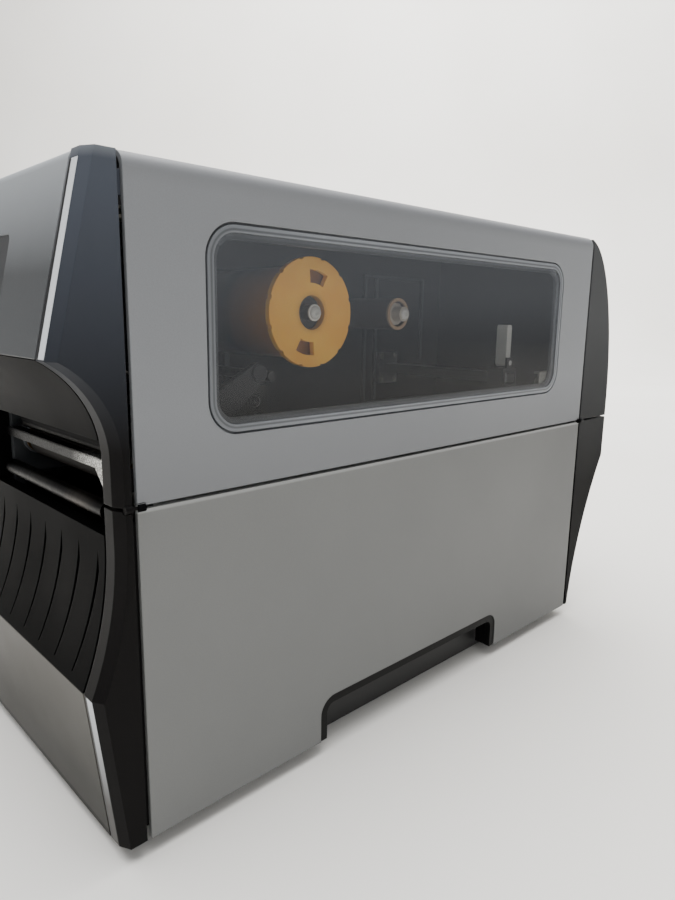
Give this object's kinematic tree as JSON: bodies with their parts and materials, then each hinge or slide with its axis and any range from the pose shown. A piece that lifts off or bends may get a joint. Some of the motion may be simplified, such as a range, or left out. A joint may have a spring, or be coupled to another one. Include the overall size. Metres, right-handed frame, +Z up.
{
  "type": "industrial label printer",
  "caption": "Table-top industrial label printer with a two-piece folding side door, window, label exit and print mechanism.",
  "frame": {"origin": "middle of the footprint, on the surface that the feet stand on", "axes": "+X towards the folding door side, +Y from the label exit to the rear, +Z up"},
  "size_m": [0.269, 0.488, 0.324],
  "materials": {
    "side_paint": "satin, fine texture",
    "lower_side_paint": "satin, fine texture",
    "front_grey": "satin",
    "front_low": "satin",
    "hood_black": "matte",
    "trim_dark": "satin",
    "rear_grey": "satin",
    "strip_grey": "satin",
    "bezel_grey": "satin",
    "grip_black": "matte",
    "pane_clear": "polished",
    "display_glass": "polished",
    "plate_dark": "satin",
    "button_grey": "satin",
    "key_dark": "matte",
    "base_black": "matte",
    "rubber_black": "matte",
    "frame_paint": "painted dark grey",
    "zinc_steel": "zinc plated",
    "bright_steel": "ground",
    "tear_steel": "grained",
    "bush_bronze": "sintered",
    "head_alloy": "extruded",
    "head_ceramic": "glazed line",
    "lever_plastic": "satin",
    "roller_rubber": "ground rubber",
    "pulley_plastic": "moulded",
    "motor_black": "satin",
    "belt_rubber": "matte",
    "ribbon_drum": "satin",
    "amber_plastic": "moulded",
    "spindle_grey": "moulded",
    "core_card": "wound",
    "hanger_alloy": "anodised",
    "guide_light": "moulded",
    "board_green": "lacquered",
    "supply_steel": "plain sheet",
    "connector_black": "moulded"
  },
  "bodies": {
    "chassis": {"base_pan": "base_black", "rubber_feet": "rubber_black", "centre_frame": "frame_paint", "left_cover": "side_paint", "left_trims": "trim_dark", "upper_front_panel": "front_grey", "control_panel": "plate_dark", "display_window": "display_glass", "exit_hood": "hood_black", "front_apron": "hood_black", "lower_front_panel": "front_low", "rear_cover": "rear_grey", "hinge_fixed_leaf": "zinc_steel", "tear_bar": "tear_steel", "exit_guide_bar": "bright_steel", "mechanism_braces": "zinc_steel", "mechanism_side_plate": "zinc_steel", "shaft_bearings": "bush_bronze", "drive_motor": "motor_black", "drive_belts": "belt_rubber", "media_hanger": "hanger_alloy", "media_sensor": "lever_plastic", "main_board": "board_green", "power_supply": "supply_steel", "rear_connectors": "connector_black"},
    "upper_door": {"upper_door_panel": "side_paint", "window_bezel": "bezel_grey", "window_pane": "pane_clear", "upper_front_trim": "trim_dark", "upper_front_strip": "strip_grey", "upper_rear_trim": "rear_grey", "hinge_moving_leaf": "zinc_steel", "door_catch": "zinc_steel", "fold_hinge_pins": "bright_steel"},
    "lower_door": {"lower_door_panel": "lower_side_paint", "lower_front_trim": "trim_dark", "lower_front_strip": "strip_grey", "lower_rear_trim": "rear_grey", "grip_liner": "grip_black"},
    "head_lever": {"head_lever": "bright_steel", "lever_handle": "lever_plastic"},
    "print_head": {"printhead_carrier": "head_alloy", "thermal_printhead": "head_ceramic"},
    "platen": {"platen_roller": "roller_rubber", "platen_pulley": "pulley_plastic"},
    "motor_shaft": {"motor_pulley": "pulley_plastic"},
    "ribbon_takeup": {"takeup_spindle": "ribbon_drum", "takeup_flange": "amber_plastic"},
    "ribbon_supply": {"supply_spindle": "spindle_grey", "supply_core": "core_card"},
    "media_guide": {"media_guide_slider": "lever_plastic"},
    "guide_arm": {"media_guide_arm": "guide_light"},
    "dancer": {"dancer_arm": "bright_steel"},
    "rocker": {"power_rocker": "connector_black"},
    "pause_button": {"pause_button": "button_grey"},
    "feed_button": {"feed_button": "button_grey"},
    "cancel_button": {"cancel_button": "button_grey"},
    "menu_left_key": {"menu_left_key": "key_dark"},
    "menu_select_key": {"menu_select_key": "key_dark"},
    "menu_right_key": {"menu_right_key": "key_dark"}
  },
  "joints": [
    {"name": "door_lift", "type": "hinge", "parent": "chassis", "child": "upper_door", "pos_m": [-0.02, 0, 0.3195], "axis": [0, -1, 0], "range_deg": [0, 112]},
    {"name": "door_fold", "type": "hinge", "parent": "upper_door", "child": "lower_door", "pos_m": [0.1327, 0, 0.1754], "axis": [0, -1, 0], "range_deg": [0, 150]},
    {"name": "head_lever_turn", "type": "hinge", "parent": "chassis", "child": "head_lever", "pos_m": [0, -0.152, 0.214], "axis": [1, 0, 0], "range_deg": [0, 90]},
    {"name": "print_head_lift", "type": "hinge", "parent": "chassis", "child": "print_head", "pos_m": [0, -0.128, 0.204], "axis": [-1, 0, 0], "range_deg": [0, 5]},
    {"name": "platen_spin", "type": "hinge", "parent": "chassis", "child": "platen", "pos_m": [0, -0.1955, 0.1845], "axis": [1, 0, 0], "continuous": true},
    {"name": "motor_spin", "type": "hinge", "parent": "chassis", "child": "motor_shaft", "pos_m": [0, -0.15, 0.12], "axis": [1, 0, 0], "continuous": true},
    {"name": "takeup_spin", "type": "hinge", "parent": "chassis", "child": "ribbon_takeup", "pos_m": [0, -0.088, 0.261], "axis": [1, 0, 0], "continuous": true},
    {"name": "supply_spin", "type": "hinge", "parent": "chassis", "child": "ribbon_supply", "pos_m": [0, -0.0106, 0.2612], "axis": [1, 0, 0], "continuous": true},
    {"name": "media_guide_slide", "type": "slide", "parent": "chassis", "child": "media_guide", "axis": [-1, 0, 0], "range_m": [0, 0.08]},
    {"name": "guide_flip", "type": "hinge", "parent": "media_guide", "child": "guide_arm", "pos_m": [0, 0.117, 0.2255], "axis": [-1, 0, 0], "range_deg": [0, 90]},
    {"name": "dancer_swing", "type": "hinge", "parent": "chassis", "child": "dancer", "pos_m": [0, 0.044, 0.096], "axis": [1, 0, 0], "range_deg": [0, 25], "stiffness_Nm_per_rad": 0.3, "springref_deg": -20.05},
    {"name": "power_rocker_tilt", "type": "hinge", "parent": "chassis", "child": "rocker", "pos_m": [-0.062, 0.19, 0.044], "axis": [1, 0, 0], "range_deg": [-8, 8]},
    {"name": "pause_button_press", "type": "slide", "parent": "chassis", "child": "pause_button", "axis": [0, 0.9733, -0.2297], "range_m": [0, 0.0008], "stiffness_N_per_m": 500},
    {"name": "feed_button_press", "type": "slide", "parent": "chassis", "child": "feed_button", "axis": [0, 0.9733, -0.2297], "range_m": [0, 0.0008], "stiffness_N_per_m": 500},
    {"name": "cancel_button_press", "type": "slide", "parent": "chassis", "child": "cancel_button", "axis": [0, 0.9733, -0.2297], "range_m": [0, 0.0008], "stiffness_N_per_m": 500},
    {"name": "menu_left_key_press", "type": "slide", "parent": "chassis", "child": "menu_left_key", "axis": [0, 0.9733, -0.2297], "range_m": [0, 0.0008], "stiffness_N_per_m": 500},
    {"name": "menu_select_key_press", "type": "slide", "parent": "chassis", "child": "menu_select_key", "axis": [0, 0.9733, -0.2297], "range_m": [0, 0.0008], "stiffness_N_per_m": 500},
    {"name": "menu_right_key_press", "type": "slide", "parent": "chassis", "child": "menu_right_key", "axis": [0, 0.9733, -0.2297], "range_m": [0, 0.0008], "stiffness_N_per_m": 500}
  ],
  "couplings": [
    {"joint": "print_head_lift", "follows": "head_lever_turn", "ratio": 0.055556},
    {"joint": "motor_spin", "follows": "platen_spin", "ratio": 1.125},
    {"joint": "takeup_spin", "follows": "platen_spin", "ratio": 0.45}
  ]
}
